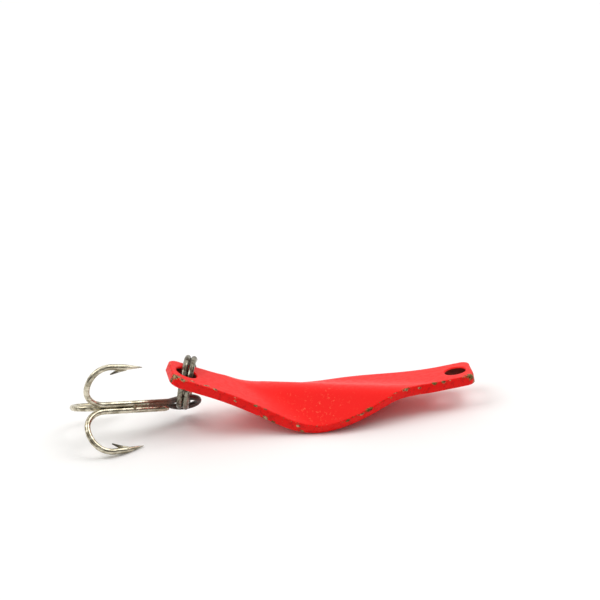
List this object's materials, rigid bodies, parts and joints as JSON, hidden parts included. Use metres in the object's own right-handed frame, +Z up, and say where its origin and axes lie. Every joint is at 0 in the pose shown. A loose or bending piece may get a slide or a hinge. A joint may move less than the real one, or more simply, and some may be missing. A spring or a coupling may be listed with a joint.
{
  "type": "metal fishing lure",
  "caption": "Bent painted-metal fishing lure with a line hole in the nose and a treble hook hanging from a split ring at the tail.",
  "frame": {"origin": "under the middle of the object's box, at the height of the surface it lies on", "axes": "+X from the hook end to the line end, +Z up, with the lure lying on a table"},
  "size_m": [0.0592, 0.0152, 0.0124],
  "materials": {
    "body_paint": "glossy warm red enamel on a brass plate, chipped to olive-brown brass along the edges and round the holes",
    "ring_steel": "dull gun-metal steel wire, darker and browner where it is tarnished",
    "hook_nickel": "warm grey nickel plating, rusted red-brown on the eye and the eye end of the shank"
  },
  "bodies": {
    "lure_body": {"body_plate": "body_paint"},
    "ring": {"split_ring": "ring_steel"},
    "treble": {"treble_double_hook": "hook_nickel", "treble_single_hook": "hook_nickel"}
  },
  "joints": [
    {"name": "ring_tilt", "type": "hinge", "parent": "lure_body", "child": "ring", "pos_m": [-0.01268, 0.00211, 0.00822], "axis": [-0.074, 0.997, -0.0227], "range_deg": [-6, 14]},
    {"name": "hook_swing", "type": "hinge", "parent": "ring", "child": "treble", "pos_m": [-0.01279, 0.00313, 0.00271], "axis": [0.2502, 0.943, 0.2196], "range_deg": [-55, 18]}
  ]
}
